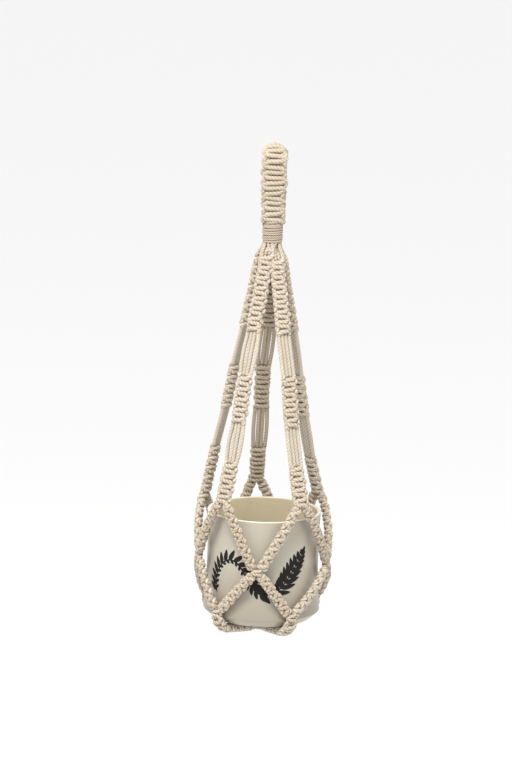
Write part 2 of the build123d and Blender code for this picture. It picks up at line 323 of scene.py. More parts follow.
def cotton(name, crest, flank, groove_shade, crevice_shade):
    """Twisted cotton with fibres along the cord, and painted shade: darker in the grooves between the
    strands and brown in the crevices between cords.
    """
    material, nodes, links, shader = new_material(name)
    fibre = attribute(nodes, "fibre", "Vector")
    fine = noise(nodes, links, stretched(nodes, links, fibre, (3.2, 3.2, 0.55)), 1.0, 5.0, 0.65)
    patches = noise(nodes, links, fibre, 0.12, 3.0, 0.5)
    white = (1.0, 1.0, 1.0)
    # Painted shade: the strands darken from the crest colour over the flank colour down to the groove shade
    # colour in the grooves between them.
    depth = ramp(nodes, links, attribute(nodes, "lobe", "Fac"), ((0.0, groove_shade), (0.45, flank), (1.0, crest)))
    strands = ramp(nodes, links, fine, ((0.30, (0.80, 0.78, 0.74)), (0.62, white)))
    toned = ramp(nodes, links, patches, ((0.30, (0.93, 0.91, 0.88)), (0.70, white)))
    # The tint darkens each cord by its own random tone, and the back arm's cords also by painted shade.
    tints_and_shade = ramp(nodes, links, attribute(nodes, "tint_and_shade", "Fac"), ((0.0, (0.78, 0.70, 0.59)), (1.0, white)))
    # Painted shade: where other cords crowd a point, its colour darkens towards the brown crevice shade
    # colour.
    half_way = tuple(c + 0.62 * (1 - c) for c in crevice_shade)
    free = attribute(nodes, "free", "Fac")
    buried = ramp(nodes, links, free, ((0.15, crevice_shade), (0.45, half_way), (0.88, white)))
    colour = depth
    for layer in (strands, toned, tints_and_shade, buried):
        colour = mixed(nodes, links, "MULTIPLY", 1.0, colour, layer)
    links.new(colour, shader.inputs["Base Color"])
    shader.inputs["Roughness"].default_value = 0.92
    shader.inputs["Specular IOR Level"].default_value = 0.15
    shader.inputs["Sheen Weight"].default_value = 0.35
    shader.inputs["Sheen Roughness"].default_value = 0.55
    bump = nodes.new("ShaderNodeBump")
    bump.inputs["Strength"].default_value = 0.55
    bump.inputs["Distance"].default_value = 0.0004
    links.new(fine, bump.inputs["Height"])
    links.new(bump.outputs["Normal"], shader.inputs["Normal"])
    return material


# The flank, groove and crevice colours carry painted shade; the crest colour is the cotton's own.
cotton_cord = cotton("cotton_cord", crest=(0.65, 0.595, 0.51), flank=(0.46, 0.395, 0.31),
                     groove_shade=(0.30, 0.195, 0.115), crevice_shade=(0.38, 0.225, 0.12))
wrap_cotton = cotton("wrap_cord", crest=(0.66, 0.59, 0.51), flank=(0.55, 0.475, 0.40),
                     groove_shade=(0.27, 0.205, 0.155), crevice_shade=(0.42, 0.30, 0.21))

# ---- the arms' bare cords, which are free cords -------------------------
SINNETS = ("upper_sinnet", "middle_sinnet", "lower_sinnet")
sinnets = {arm: {part: straight(f"{part}_{arm}") for part in SINNETS} for arm in ARMS}
RUNS = {"upper_cords": ("upper_sinnet", "middle_sinnet"), "lower_cords": ("middle_sinnet", "lower_sinnet")}
for arm in ARMS:
    for run, (above, below) in RUNS.items():
        for number, offset in enumerate(CORD_OFFSETS):
            top = sinnets[arm][above][1] + sinnets[arm][above][2] * offset
            foot = sinnets[arm][below][0] + sinnets[arm][below][2] * offset
            along = unit(foot - top)
            bow = math.copysign(RUN_BOW[arm], offset) if abs(offset) == CORD_OFFSETS[-1] else 0.0
            middle = (top + foot) / 2 + sinnets[arm][below][2] * 2 * bow
            # Both ends run 1 mm into the knots that hold them.
            route = [(top - along) * MM, middle * MM, (foot + along) * MM]
            line = np.array(spline_points(route))
            piece = cords(f"{run}_{arm}_{number}", [line / MM], [SOFT_R], cotton_cord, depth=SOFT_DEPTH,
                          tints_and_shade=ARM_TINTS_AND_SHADE[arm])
            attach(piece, "hanger")
            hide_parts(f"{run}_{arm}")


# ---- knots --------------------------------------------------------------
STRAIGHTENING, PUSHING = 0.4, 0.8      # share of the way there in each round
OWN_LENGTH = 1.7         # gaps along a cord within which it doesn't push itself away


def relax(strands, period, gap, rounds, hold):
    """Settles cords that repeat every period along s: each straightens, close ones push apart, and
    each keeps near its first place as strongly as hold says."""
    sizes = [len(s) for s in strands]
    owner = np.repeat(np.arange(len(strands)), sizes)
    place = np.concatenate([np.arange(n) for n in sizes])
    step = np.array([0.0, 0.0, period])
    strands = [s.copy() for s in strands]
    first = [s.copy() for s in strands]
    for _ in range(rounds):
        for s, start, grip in zip(strands, first, hold):
            before = np.roll(s, 1, axis=0)
            before[0] -= step
            after = np.roll(s, -1, axis=0)
            after[-1] += step
            s += STRAIGHTENING * ((before + after) / 2 - s)
            s += grip * (start - s)
        points = np.concatenate(strands)
        images = np.concatenate([points - step, points, points + step])
        image_owner = np.tile(owner, 3)
        count = np.array(sizes)[owner]
        image_place = np.concatenate([place - count, place, place + count])
        away = points[:, None] - images[None]
        distance = np.linalg.norm(away, axis=2) + 1e-6
        spacing = np.array([np.linalg.norm(np.diff(s, axis=0), axis=1).mean() for s in strands])[owner]
        beside = np.abs(place[:, None] - image_place[None]) * spacing[:, None] < gap * OWN_LENGTH
        same = (owner[:, None] == image_owner[None]) & beside
        close = np.where(same, 0, np.clip(gap - distance, 0, None))
        push = (away / distance[..., None] * close[..., None]).sum(1)
        points = points + PUSHING * push / np.maximum((close > 0).sum(1), 1)[:, None]
        strands = list(np.split(points, np.cumsum(sizes)[:-1]))
    return strands


def paired(strand, pitch, draw):
    """Half knots drawn together in twos, with a waist between one square knot and the next."""
    turn = math.pi * strand[:, 2] / pitch
    swell = 1 - draw * np.cos(turn)
    along = strand[:, 2] + draw * pitch * np.sin(turn)
    return np.stack([strand[:, 0] * swell, strand[:, 1] * (1 + (swell - 1) * 0.7), along], axis=1)


def square_knots(half, fillers, pitch, gap, width, thickness, radius, draw=0.07, layer=3.4):
    """Two half knots of a sinnet, as repeating strands in (across, out, along): the two working
    cords and then the fillers, scaled to a finished width and thickness. All in millimetres."""
    t = np.linspace(0, 2, 72, endpoint=False)
    c, wave = np.cos(math.pi * t), np.sin(2 * math.pi * t) / (2 * math.pi)
    front = (layer + 1.0) * np.abs(np.sin(math.pi * t)) ** 0.6 - 0.8
    over = np.stack([half * np.sign(c) * np.abs(c) ** 0.8, front, pitch * (t + wave)], axis=1)
    bump = np.tanh(2.2 * np.cos(2 * math.pi * t)) / math.tanh(2.2)
    behind = 0.8 * layer * bump - 0.2 * layer
    under = np.stack([-half * np.sign(c) * np.abs(c) ** 0.5, behind, pitch * (t + 2.2 * wave)], axis=1)
    run = np.linspace(0, 2 * pitch, 12, endpoint=False)
    middles = [np.stack([np.full(12, u), np.full(12, v), run], axis=1) for u, v in fillers]
    rounds, working_hold, filler_hold = 60, 0.15, 0.5
    hold = [working_hold] * 2 + [filler_hold] * len(fillers)
    strands = relax([over, under, *middles], 2 * pitch, gap, rounds, hold)
    strands = [paired(s, pitch, draw) for s in strands]
    both = np.concatenate(strands[:2])
    across = (width / 2 - radius) / np.abs(both[:, 0]).max()
    middle = (both[:, 1].max() + both[:, 1].min()) / 2
    out = (thickness / 2 - radius) / ((both[:, 1].max() - both[:, 1].min()) / 2)
    return [(s - [0, middle, 0]) * [across, out, 1.0] for s in strands]


# How uneven the knots are: in size, in place across, out and along in mm, in tilt, and point by point in mm.
SIZE_DRIFT, PLACE_DRIFT, TILT_DRIFT, ROUGHNESS = 0.025, (0.2, 0.16, 0.22), 0.035, 0.03
END_GAP = 0.4            # mm kept free at each end of a sinnet


def knot_run(kind, length, enter, leave, lead=1.6, unevenness=1.0):
    """Strands in (across, out, along) for a sinnet of a given length. The strands come in and go
    out at the places across that enter and leave give, outermost ones for the working cords."""
    strands, pitch = kind
    halves = max(2, int(round((length - 2 * lead) / pitch)))
    stretch = (length - 2 * lead) / halves / pitch
    jitter = rng.normal(0, unevenness, (halves + 3, 4))
    lines = []
    for number, strand in enumerate(strands):
        repeats = [strand + [0, 0, 2 * pitch * k] for k in range(halves // 2 + 1)]
        line = np.concatenate(repeats)[: len(strand) * halves // 2 + 1]
        line = line * [1, 1, stretch] + [0, 0, lead]
        where = np.clip((line[:, 2] - lead) / (pitch * stretch) + 1, 0, halves + 1.99)
        drift = np.stack([np.interp(where, np.arange(halves + 3), jitter[:, k]) for k in range(4)], axis=1)
        line = line + line * [1, 1, 0] * SIZE_DRIFT * drift[:, :1] + drift[:, 1:] * PLACE_DRIFT
        line[:, 2] += TILT_DRIFT * drift[:, 2] * line[:, 0]
        line[:, 2] = np.clip(line[:, 2], END_GAP, length - END_GAP)
        line = line + rng.normal(0, ROUGHNESS, line.shape)
        if number < 2:
            first, last = math.copysign(enter[-1], line[0, 0]), math.copysign(leave[-1], line[-1, 0])
        else:
            slot = 1 + (number - 2) * (len(enter) - 2) // max(1, len(strands) - 2)
            first, last = enter[slot], leave[slot]
        line = np.concatenate([[[first, 0, 0]], line, [[last, 0, length]]])
        lines.append(smooth(resample(line, 0.9), 2))
    return lines


def placed(line, top, foot, across, out):
    """A strand in (across, out, along) set between two points."""
    along = unit(foot - top)
    return top + line[:, :1] * across + line[:, 1:2] * out + line[:, 2:] * along


def length_of(path):
    return float(np.linalg.norm(np.diff(path, axis=0), axis=1).sum())


def wound(line, path, across, out):
    """A strand in (across, out, along) laid along a curved path with its own frame at each point."""
    gone = np.concatenate([[0], np.cumsum(np.linalg.norm(np.diff(path, axis=0), axis=1))])
    place, sideways, outwards = (
        np.stack([np.interp(line[:, 2], gone, table[:, k]) for k in range(3)], axis=1)
        for table in (path, across, out))
    return place + line[:, :1] * unit(sideways) + line[:, 1:2] * unit(outwards)


def radial_frame(path):
    """For a path round the vertical axis, the way across it and the way out at each point."""
    along = unit(np.gradient(path, axis=0))
    out = unit(path * [1, 1, 0])
    out = unit(out - along * (out * along).sum(1, keepdims=True))
    return np.cross(out, along), out


def finished(piece, body, slot, *nodes):
    """The piece rides on a body in place of these CAD nodes."""
    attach(piece, body)
    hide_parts(*nodes)


# Each kind of sinnet, in mm: how far apart its half knots are, then its cords' radii and its strands.
FILLERS = [(-1.8, 0.0), (1.8, 0.0)]
ARM_PITCH, ARM_CORD_R, ARM_FILLER_R = 5.5, 2.75, 1.95
ARM_RADII = [ARM_CORD_R] * 2 + [ARM_FILLER_R] * 2
ARM_KNOTS = (square_knots(half=6.2, fillers=FILLERS, pitch=ARM_PITCH, gap=4.5, width=20.0,
                          thickness=11.4, radius=ARM_CORD_R), ARM_PITCH)
SMALL_PITCH, SMALL_CORD_R, SMALL_FILLER_R = 3.9, 2.0, 1.7
SMALL_RADII = [SMALL_CORD_R] * 2 + [SMALL_FILLER_R] * 2
SMALL_KNOTS = (square_knots(half=5.4, fillers=FILLERS, pitch=SMALL_PITCH, gap=3.3, width=15.0,
                            thickness=9.4, radius=SMALL_CORD_R, layer=3.2), SMALL_PITCH)
CHAIN_PITCH, CHAIN_CORD_R = 5.8, 2.75
CHAIN_RADII = [CHAIN_CORD_R] * 2
CHAIN_KNOTS = (square_knots(half=3.5, fillers=[], pitch=CHAIN_PITCH, gap=4.3, width=13.6,
                            thickness=10.2, radius=CHAIN_CORD_R, layer=2.4), CHAIN_PITCH)
STRAP_FILLERS = [(u, 0.0) for u in (-7.6, -3.8, 0.0, 3.8, 7.6)]
STRAP_PITCH, STRAP_CORD_R, STRAP_FILLER_R = 5.8, 2.95, 1.95
STRAP_RADII = [STRAP_CORD_R] * 2 + [STRAP_FILLER_R] * len(STRAP_FILLERS)
STRAP_KNOTS = (square_knots(half=10.4, fillers=STRAP_FILLERS, pitch=STRAP_PITCH, gap=4.8, width=29.4,
                            thickness=12.0, radius=STRAP_CORD_R, draw=0.025), STRAP_PITCH)


def eased(x):
    x = np.clip(x, 0, 1)
    return x * x * (3 - 2 * x)


# ---- arms ---------------------------------------------------------------
# How far in mm each arm's knots run on above its CAD solid, into the fan, and how far they lean there.
ARM_RISE = {"front_left": 13.0, "front_right": 7.5, "back_right": 9.0, "back": 10.0, "back_left": 11.0}
ARM_LEAN = {"front_left": 2.2, "front_right": -2.2, "back_right": -1.0, "back": 0.0, "back_left": 1.0}
LEAN_LENGTH = 80.0       # mm over which the crowding at the top eases off
TOP_NARROWING = 0.06     # how much narrower the knots are at the top, as a share
# Which way each arm's knots are turned about its own line: at its top, and between its bare runs.
TOP_TURN = {"front_left": -26.0, "front_right": 26.0, "back_right": 24.0, "back": 24.0, "back_left": 24.0}
KNOT_TURN = {"front_left": -26.0, "front_right": 26.0, "back_right": 0.0, "back": 0.0, "back_left": 0.0}
TURN_LENGTH = 13.0       # mm over which the knots turn back to meet the bare cords
arm_tops = {}


def sinnet(name, arm, top, foot, across, out, topmost=False):
    """A straight sinnet, turned about its line. The topmost one also leans and narrows towards its top."""
    length = float(np.linalg.norm(foot - top))
    lines = []
    for line in knot_run(ARM_KNOTS, length, CORD_OFFSETS, CORD_OFFSETS):
        at = line[:, 2]
        share = eased(1 - at / LEAN_LENGTH) * topmost
        near_ends = eased((length - at) / TURN_LENGTH) * np.maximum(eased(at / TURN_LENGTH), topmost)
        turn = np.radians(KNOT_TURN[arm] * near_ends + (TOP_TURN[arm] - KNOT_TURN[arm]) * share)
        u, v = line[:, 0] * (1 - TOP_NARROWING * share), line[:, 1] * (1 - TOP_NARROWING * share)
        u, v = u * np.cos(turn) - v * np.sin(turn), u * np.sin(turn) + v * np.cos(turn)
        line = np.stack([u + ARM_LEAN[arm] * share, v, at], axis=1)
        lines.append(placed(line, top, foot, across, out))
    return cords(name, lines, ARM_RADII, cotton_cord, tints_and_shade=ARM_TINTS_AND_SHADE[arm])


for arm in ARMS:
    top, foot, across, out = sinnets[arm]["upper_sinnet"]
    start = top - unit(foot - top) * ARM_RISE[arm]
    turn = math.radians(TOP_TURN[arm])
    turned_across = across * math.cos(turn) + out * math.sin(turn)
    arm_tops[arm] = (start + across * ARM_LEAN[arm], turned_across * (1 - TOP_NARROWING), unit(foot - top))
    piece = sinnet(f"upper_sinnet_knots_{arm}", arm, start, foot, across, out, topmost=True)
    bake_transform(piece)
    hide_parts(f"upper_sinnet_{arm}")
    for part in ("middle_sinnet", "lower_sinnet"):
        piece = sinnet(f"{part}_knots_{arm}", arm, *sinnets[arm][part])
        finished(piece, "hanger", "cotton_cord", f"{part}_{arm}")

# ---- loop ---------------------------------------------------------------
strap_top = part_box("hanging_loop")[1].z / MM
wrap_low, wrap_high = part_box("gathering_wrap")
WRAP_TOP, WRAP_FOOT = wrap_high.z / MM, wrap_low.z / MM
STRAP_T = 11.0           # mm
DOME_HEIGHT = 9.0        # mm below the top at which the strap has its full width
DOME_WIDTH = 0.66        # its width at the very top, as a share of the full width
STRAP_EDGE = 9.5         # mm, where the working cords leave the strap at its ends
# The crown across the strap's outer side: per mm squared on the legs, what the top adds, and its drop in mm.
LEG_CROWN, TOP_CROWN, TOP_DROP = 0.018, 0.022, 1.2
arc_r = strap_top - STRAP_T / 2
foot_y, foot_z = STRAP_T / 2 + 0.3, WRAP_TOP - 2.0
reach = math.hypot(foot_y, foot_z)
tangent_angle = math.atan2(foot_z, foot_y) + math.acos(arc_r / reach)
sweep = np.linspace(tangent_angle, math.pi - tangent_angle, 90)
arc = np.stack([np.zeros(90), arc_r * np.cos(sweep), arc_r * np.sin(sweep)], axis=1)
path = resample(np.concatenate([[[0, foot_y, foot_z]], arc, [[0, -foot_y, foot_z]]]), 0.8)
along = unit(np.gradient(path, axis=0))
across = np.tile([-1.0, 0.0, 0.0], (len(path), 1))
out = np.cross(across, along)
places = [-STRAP_EDGE, *[u for u, _ in STRAP_FILLERS], STRAP_EDGE]
strap_length = length_of(path)
lines = []
for line in knot_run(STRAP_KNOTS, strap_length, places, places, unevenness=2.8):
    turned = np.clip((line[:, 2] - strap_length / 2) / arc_r, -math.pi / 2, math.pi / 2)
    drop = np.clip(arc_r * (1 - np.cos(turned)) / DOME_HEIGHT, 0, 1)
    narrowed = line[:, 0] * (DOME_WIDTH + (1 - DOME_WIDTH) * np.sqrt(1 - (1 - drop) ** 2))
    outer = np.clip((line[:, 1] + 2) / 5, 0, 1)
    crown = (LEG_CROWN + TOP_CROWN * (1 - drop)) * line[:, 0] ** 2 + TOP_DROP * (1 - drop)
    crowned = line[:, 1] - outer * crown
    lines.append(wound(np.stack([narrowed, crowned, line[:, 2]], axis=1), path, across, out))
strap = cords("loop_knots", lines, STRAP_RADII, cotton_cord, depth=SOFT_DEPTH)
finished(strap, "top_loop", "cotton_cord", "hanging_loop")

# ---- wrap ---------------------------------------------------------------
WRAP_TURNS = 8
WRAP_LAY = 7.5           # mm
WRAP_PROUD = 0.6         # mm that it stands out past the CAD's smooth ring
TAIL_IN, TAIL_RISE = 0.75, 2.5      # its tucked ends: share of the radius, and mm up or down
wrap_r = wrap_high.x / MM + WRAP_PROUD
wrap_cord_r = (WRAP_TOP - WRAP_FOOT) / (WRAP_TURNS + 1.0) / 2 * 1.08
share = np.linspace(0, 1, 500)
spin = share * 2 * math.pi * (WRAP_TURNS + 0.35) - math.pi / 2 - 0.9
climb = WRAP_FOOT + wrap_cord_r + share * (WRAP_TOP - WRAP_FOOT - 2 * wrap_cord_r)
climb += 0.3 * np.sin(0.37 * spin + 1.0) + 0.2 * np.sin(1.3 * spin)
swell = (wrap_r - wrap_cord_r) * (1 - 0.02 * np.abs(2 * share - 1) ** 3)
helix = np.stack([swell * np.cos(spin), swell * np.sin(spin), climb], axis=1)
tail_in = helix[0] * [TAIL_IN, TAIL_IN, 1] + [0, 0, TAIL_RISE]
tail_out = helix[-1] * [TAIL_IN, TAIL_IN, 1] - [0, 0, TAIL_RISE]
helix = smooth(resample(np.concatenate([[tail_in], helix, [tail_out]]), 0.9), 2)
wrap = cords("wrap_turns", [helix], [wrap_cord_r], wrap_cotton, lay=WRAP_LAY, step=0.9, depth=FULL_DEPTH)
finished(wrap, "top_loop", "wrap_cord", "gathering_wrap")

# ---- neck ---------------------------------------------------------------
# The bundle's rings: how many cords each has, its radius in mm and where it starts in radians.
rings = ((12, 7.9, 0.0), (6, 4.1, 0.3), (2, 1.2, 0.9))
bundle = [(r * math.cos(a + k * 2 * math.pi / n), r * math.sin(a + k * 2 * math.pi / n))
          for n, r, a in rings for k in range(n)]
SEAM_Z = -100.5          # mm, where the neck's two pieces meet
NECK_CORD_R = 2.4        # mm
FAN_OUT = 1.5            # how far out the fan's cords lie for each mm in the bundle
upper_lines, lower_lines = [], []
for outermost in (True, False):
    for arm in ARMS:
        start, across, along = arm_tops[arm]
        for offset in CORD_OFFSETS:
            if (abs(offset) == CORD_OFFSETS[-1]) != outermost:
                continue
            target = start + across * offset
            near = min(bundle, key=lambda p: math.dist((p[0] * FAN_OUT, p[1] * FAN_OUT), target[:2]))
            bundle.remove(near)
            line = np.array([(*near, WRAP_TOP + 3), (*near, WRAP_FOOT + 3), (*near, WRAP_FOOT - 1),
                             target - along * 1.5, target + along * 1.2])
            line = smooth(resample(line, 0.8), 25)
            cut = int(np.argmax(line[:, 2] < SEAM_Z))
            upper_lines.append(line[:cut + 1])
            lower_lines.append(line[cut:])
phases = rng.uniform(0, 2 * math.pi, len(upper_lines))
upper_neck = cords("neck_cords_upper", upper_lines, [NECK_CORD_R] * 20, cotton_cord, phases=phases)
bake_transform(upper_neck)
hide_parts("neck_cords")
phases = [p + length_of(line) * 2 * math.pi / LAY for p, line in zip(phases, upper_lines)]
lower_neck = cords("neck_cords_lower", lower_lines, [NECK_CORD_R] * 20, cotton_cord, phases=phases)
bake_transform(lower_neck)
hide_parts("neck_fan")


# ---- net ----------------------------------------------------------------
def round_the_axis(point):
    return math.hypot(point[0], point[1]), math.atan2(point[1], point[0]), point[2]


def sweep_between(start, end):
    """Even path round the axis between two (radius, azimuth, z) places, the short way round."""
    turn = (end[1] - start[1] + math.pi) % (2 * math.pi) - math.pi
    share = np.linspace(0, 1, 60)[:, None]
    radius, azimuth, z = (np.array(start) + share * (np.array([end[0], start[1] + turn, end[2]]) - start)).T
    return np.stack([radius * np.cos(azimuth), radius * np.sin(azimuth), z], axis=1)


def chained(path, ends):
    """Two-cord chain along a path, its cords this far either side of the path at the ends."""
    across, out = radial_frame(path)
    lines = knot_run(CHAIN_KNOTS, length_of(path), ends, ends, lead=0.8)
    return [wound(line, path, across, out) for line in lines]


ROOT_SPREAD, MEETING_SPREAD = math.radians(4.3), math.radians(4.0)
# Heights in mm at which chains start over a sinnet's foot, stop short of a crossing and of a base joint.
ROOT_RISE, CROSSING_GAP, JOINT_GAP = 1.0, 4.6, 5.0
CHAIN_ENDS = (-1.9, 1.9)      # mm
crossing_places = [round_the_axis(centre(f"crossing_knot_{name}")) for name in CROSSINGS]
for index, arm in enumerate(ARMS):
    radius, azimuth, z = round_the_axis(sinnets[arm]["lower_sinnet"][1])
    joint = round_the_axis(centre(f"base_knot_{arm}"))
    upper, lower = [], []
    for side, crossing in ((-1, crossing_places[index - 1]), (1, crossing_places[index])):
        root = (radius, azimuth + side * ROOT_SPREAD, z + ROOT_RISE)
        stop = (crossing[0], crossing[1] - side * MEETING_SPREAD, crossing[2] + CROSSING_GAP)
        upper += chained(sweep_between(root, stop), CHAIN_ENDS)
        leave = (crossing[0], crossing[1] - side * MEETING_SPREAD, crossing[2] - CROSSING_GAP)
        foot = (joint[0], joint[1] + side * MEETING_SPREAD, joint[2] + JOINT_GAP)
        lower += chained(sweep_between(leave, foot), CHAIN_ENDS)
    for half, lines in (("upper", upper), ("lower", lower)):
        piece = cords(f"{half}_net_chains_{arm}", lines, CHAIN_RADII * 2, cotton_cord)
        finished(piece, "hanger", "cotton_cord", f"{half}_net_{arm}")


PAD_ENDS = (-7.0, -3.4, 3.4, 7.0)      # mm


def knotted_pad(name, place, height, node):
    """A short sinnet that joins two chains, flat side out."""
    radius, azimuth, z = place
    top, foot = polar(radius, azimuth, z + height / 2), polar(radius, azimuth, z - height / 2)
    path = np.linspace(top, foot, 20)
    across, out = radial_frame(path)
    run = knot_run(SMALL_KNOTS, height, PAD_ENDS, PAD_ENDS, lead=2.0)
    lines = [wound(line, path, across, out) for line in run]
    finished(cords(name, lines, SMALL_RADII, cotton_cord), "hanger", "cotton_cord", node)


CROSSING_HEIGHT, BASE_JOINT_HEIGHT = 11.5, 13.5      # mm
for name, place in zip(CROSSINGS, crossing_places):
    knotted_pad(f"crossing_knots_{name}", place, CROSSING_HEIGHT, f"crossing_knot_{name}")
for arm in ARMS:
    place = round_the_axis(centre(f"base_knot_{arm}"))
    knotted_pad(f"base_joint_knots_{arm}", place, BASE_JOINT_HEIGHT, f"base_knot_{arm}")

# ---- base ---------------------------------------------------------------
BASE_SAG = 6.0           # mm, how far the middle of the base hangs below its sinnets' outer ends
BASE_RADII = [2.4, 2.4, 1.8, 1.8]
BASE_ENDS = (-5.6, -1.9, 1.9, 5.6)
TURN_UNDER_R = 59.6      # mm from the axis to where the base sinnets turn in under the pot
gather_low, gather_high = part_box("base_gather")
under_z = (gather_low.z + gather_high.z) / 2 / MM
gather_r = gather_high.x / MM
for arm in ARMS:
    joint_r, azimuth, joint_z = round_the_axis(centre(f"base_knot_{arm}"))
    # Out of the joint and down, in under the pot, and to the knot in the middle.
    bends = [(joint_r, joint_z - 5.5), (joint_r - 0.4, joint_z - 8.1), (TURN_UNDER_R, under_z - 0.8),
             (gather_r - 1.0, under_z - BASE_SAG)]
    route = np.array([polar(r, azimuth, z) for r, z in bends])
    path = smooth(resample(route, 0.8), 40)
    along = unit(np.gradient(path, axis=0))
    sideways = polar(1, azimuth + math.pi / 2, 0)
    across = np.tile(sideways, (len(path), 1))
    out = np.cross(along, across)
    lines = knot_run(ARM_KNOTS, length_of(path), BASE_ENDS, BASE_ENDS)
    lines = [wound(line * [0.9, 1.0, 1.0], path, across, out) for line in lines]
    piece = cords(f"base_sinnet_knots_{arm}", lines, BASE_RADII, cotton_cord)
    finished(piece, "hanger", "cotton_cord", f"base_sinnet_{arm}")

COIL_MARGIN, COIL_START, COIL_CORD_R, COIL_TURNS = 2.3, 1.0, 2.4, 3.6      # mm, and turns
spiral = []
for share in np.linspace(0, 1, 260):
    reach = COIL_START + share * (gather_r - COIL_MARGIN - COIL_START)
    turn = math.sqrt(share) * 2 * math.pi * COIL_TURNS
    spiral.append((reach * math.cos(turn), reach * math.sin(turn)))
spiral = np.array(spiral)
layers = [np.column_stack([spiral, np.full(len(spiral), under_z - BASE_SAG + side * COIL_CORD_R)])
          for side in (-1, 1)]
coil = cords("base_gather_coil", layers, [COIL_CORD_R] * 2, cotton_cord)
finished(coil, "hanger", "cotton_cord", "base_gather")

# ---- pot ----------------------------------------------------------------
pot_low, pot_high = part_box("pot")
POT_TOP, POT_FOOT = pot_high.z / MM, pot_low.z / MM
POT_SHOULDER = POT_FOOT + 8.6      # mm
RIM_R, WAIST_R, SHOULDER_R, FOOT_R = 63.0, 61.6, 64.7, 55.0     # mm
WAIST_Z = -443.0
POT_WALL, POT_FLOOR, POT_TAPER = 4.0, 5.0, 1.5
# Corner radii in mm: under the foot, at the shoulder, outside and inside the rim, and at the floor.
UNDER_CORNER, SHOULDER_CORNER, LIP_CORNER, INNER_LIP_CORNER, FLOOR_CORNER = 1.0, 2.0, 1.3, 1.6, 7.0
side_fit = np.polyfit([POT_TOP, WAIST_Z, POT_SHOULDER], [RIM_R, WAIST_R, SHOULDER_R], 2)


def rounded(points, radii):
    """The outline with an arc of the given radius, or smaller, at each inner corner."""
    made = [np.array(points[0], float)]
    for before, here, after, radius in zip(points, points[1:], points[2:], radii):
        before, here, after = (np.array(p, float) for p in (before, here, after))
        a, b = unit(before - here), unit(after - here)
        half = math.acos(np.clip(a @ b, -1, 1)) / 2
        if radius == 0 or half > 1.5:
            made.append(here)
            continue
        room = 0.45 * min(np.linalg.norm(before - here), np.linalg.norm(after - here))
        back = min(radius / math.tan(half), room)
        radius = back * math.tan(half)
        middle = here + unit(a + b) * radius / math.sin(half)
        start, stop = here + a * back - middle, here + b * back - middle
        total = math.acos(np.clip(start @ stop / radius**2, -1, 1))
        for share in np.linspace(0, 1, 9):
            mix = (math.sin((1 - share) * total) * start + math.sin(share * total) * stop) / math.sin(total)
            made.append(middle + mix)
    made.append(np.array(points[-1], float))
    return made


def lathe(name, outline, segments, material):
    """Closed turned surface from (radius, z) points that start and end on the axis. Its points
    past the highest carry the attribute inside, and those within 0.5 mm of the highest the mask for the
    painted highlight along the rim's top."""
    inner = np.array([p for p in outline if p[0] > 1e-6])
    rim_at = int(np.flatnonzero(inner[:, 1] > inner[:, 1].max() - 0.01)[-1])
    angle = np.arange(segments) * 2 * math.pi / segments
    points = np.stack([inner[:, :1] * np.cos(angle), inner[:, :1] * np.sin(angle),
                       np.repeat(inner[:, 1:], segments, 1)], axis=-1).reshape(-1, 3)
    i = np.arange(len(inner) - 1)[:, None] * segments
    j = np.arange(segments)[None, :]
    k = (j + 1) % segments
    quads = np.stack([i + j, i + k, i + k + segments, i + j + segments], axis=-1).reshape(-1, 4)
    first, last = len(points), len(points) + 1
    points = np.concatenate([points, [[0, 0, outline[0][1]], [0, 0, outline[-1][1]]]])
    foot = (len(inner) - 1) * segments
    caps = np.concatenate([
        np.stack([np.full(segments, first), k[0], j[0]], axis=-1),
        np.stack([np.full(segments, last), foot + j[0], foot + k[0]], axis=-1),
    ])
    inside = np.append(np.repeat(np.arange(len(inner)) > rim_at, segments), [False, True]).astype(float)
    # The mask for a painted highlight along the rim's top.
    topmost = inner[:, 1] > inner[:, 1].max() - 0.5
    lip_highlight = np.append(np.repeat(topmost, segments), [False, False]).astype(float)
    made = mesh_object(name, points, quads, caps, (("inside", inside), ("lip_highlight", lip_highlight)))
    made.data.materials.append(material)
    return made


glaze, nodes, links, shader = new_material("pot_glaze")
where = nodes.new("ShaderNodeTexCoord").outputs["Object"]
cloud = noise(nodes, links, where, 28.0, 4.0, 0.55)
speck = noise(nodes, links, where, 900.0, 2.0, 0.5)
outer_tone = ramp(nodes, links, cloud, ((0.3, (0.385, 0.35, 0.28)), (0.7, (0.415, 0.38, 0.31))))
inner_tone = ramp(nodes, links, cloud, ((0.3, (0.54, 0.47, 0.32)), (0.7, (0.58, 0.51, 0.355))))
body_tone = mixed(nodes, links, "MIX", attribute(nodes, "inside", "Fac"), outer_tone, inner_tone)
# Painted highlight: the rim's top is drawn much paler than the glaze, where it catches the light.
painted_lip_highlight = ramp(nodes, links, cloud, ((0.3, (0.68, 0.64, 0.56)), (0.7, (0.73, 0.69, 0.61))))
body_tone = mixed(nodes, links, "MIX", attribute(nodes, "lip_highlight", "Fac"), body_tone, painted_lip_highlight)
speck_tone = ramp(nodes, links, speck, ((0.26, (0.80, 0.76, 0.70)), (0.34, (1.0, 1.0, 1.0))))
body_tone = mixed(nodes, links, "MULTIPLY", 1.0, body_tone, speck_tone)
